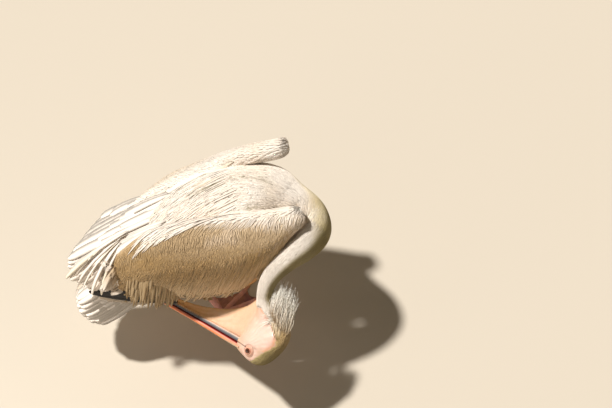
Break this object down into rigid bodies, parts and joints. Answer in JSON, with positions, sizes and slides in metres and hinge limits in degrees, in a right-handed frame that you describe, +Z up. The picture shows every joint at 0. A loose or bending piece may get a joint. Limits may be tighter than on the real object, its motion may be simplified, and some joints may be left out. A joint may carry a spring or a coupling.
{
  "type": "standing preening white pelican",
  "caption": "Still life-size white pelican standing on webbed feet, neck bent round to the right side and long pouched bill laid back under the belly, wings folded high.",
  "frame": {"origin": "on the floor, under the middle of the bounding box", "axes": "+X forward, the way the breast faces; +Y to the bird's left; +Z up"},
  "size_m": [0.696, 0.5613, 0.4824],
  "materials": {
    "plumage_white": "matte white contour feathers",
    "wing_covert_white": "matte white wing feathers",
    "crest_cream": "matte cream crest feathers",
    "flight_black": "satin black flight feathers",
    "bill_upper_horn": "satin pink and orange-red horn",
    "bill_lower_horn": "satin blue-grey horn with a pale rim",
    "pouch_skin": "soft yellow and flesh-pink skin",
    "eye_brown": "glossy dark brown",
    "foot_skin": "scaled pink skin"
  },
  "bodies": {
    "root": {"trunk": "plumage_white", "neck_base": "plumage_white", "neck_middle": "plumage_white", "neck_upper": "plumage_white", "head": "plumage_white", "crest": "crest_cream", "bill_upper": "bill_upper_horn", "bill_lower": "bill_lower_horn", "pouch": "pouch_skin", "eye_right": "eye_brown", "eye_left": "eye_brown", "wing_right": "wing_covert_white", "wing_left": "wing_covert_white", "flight_quills_right": "flight_black", "flight_quills_left": "flight_black", "tail": "plumage_white", "thigh_right": "plumage_white", "thigh_left": "plumage_white", "leg_right": "foot_skin", "leg_left": "foot_skin", "foot_right": "foot_skin", "foot_left": "foot_skin"}
  },
  "joints": []
}
